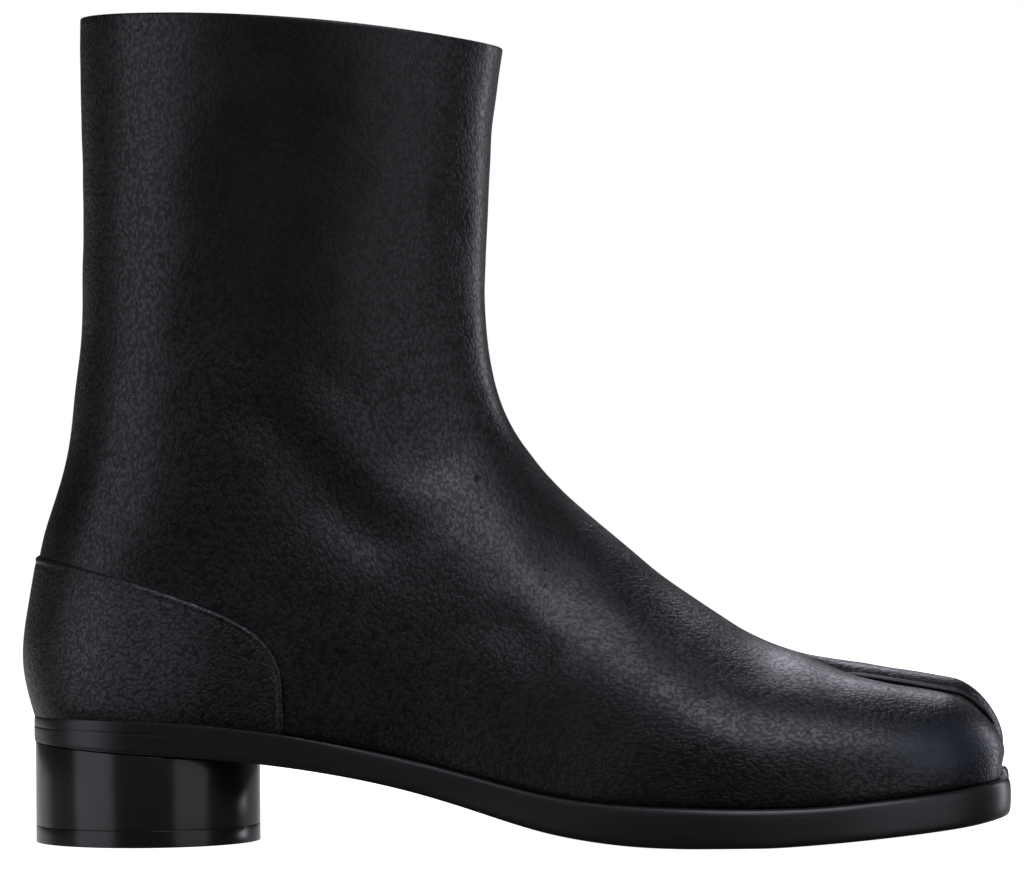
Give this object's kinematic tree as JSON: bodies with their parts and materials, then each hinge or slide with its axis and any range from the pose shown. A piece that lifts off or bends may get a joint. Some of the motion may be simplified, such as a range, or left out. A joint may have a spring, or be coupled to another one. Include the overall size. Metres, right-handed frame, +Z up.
{
  "type": "tabi boot",
  "caption": "Black leather pull-on ankle boot with a split toe, a sewn-on heel counter, a thin arched sole split at the toe and a low cylindrical heel.",
  "frame": {"origin": "on the floor, under the middle of the boot's box", "axes": "+X from the heel to the toes, +Y to the inner (big toe) side, +Z up"},
  "size_m": [0.2868, 0.1026, 0.2371],
  "materials": {
    "upper_leather": "fine-grained black calf, satin",
    "counter_leather": "fine-grained black calf, satin",
    "insole_leather": "smooth black lining leather, matt",
    "outsole_leather": "black edge-inked leather, satin",
    "heel_lacquer": "polished black",
    "top_lift_rubber": "matt black"
  },
  "bodies": {
    "root": {"upper": "upper_leather", "heel_counter": "counter_leather", "insole": "insole_leather", "outsole": "outsole_leather", "heel_block": "heel_lacquer", "heel_top_lift": "top_lift_rubber"}
  },
  "joints": []
}
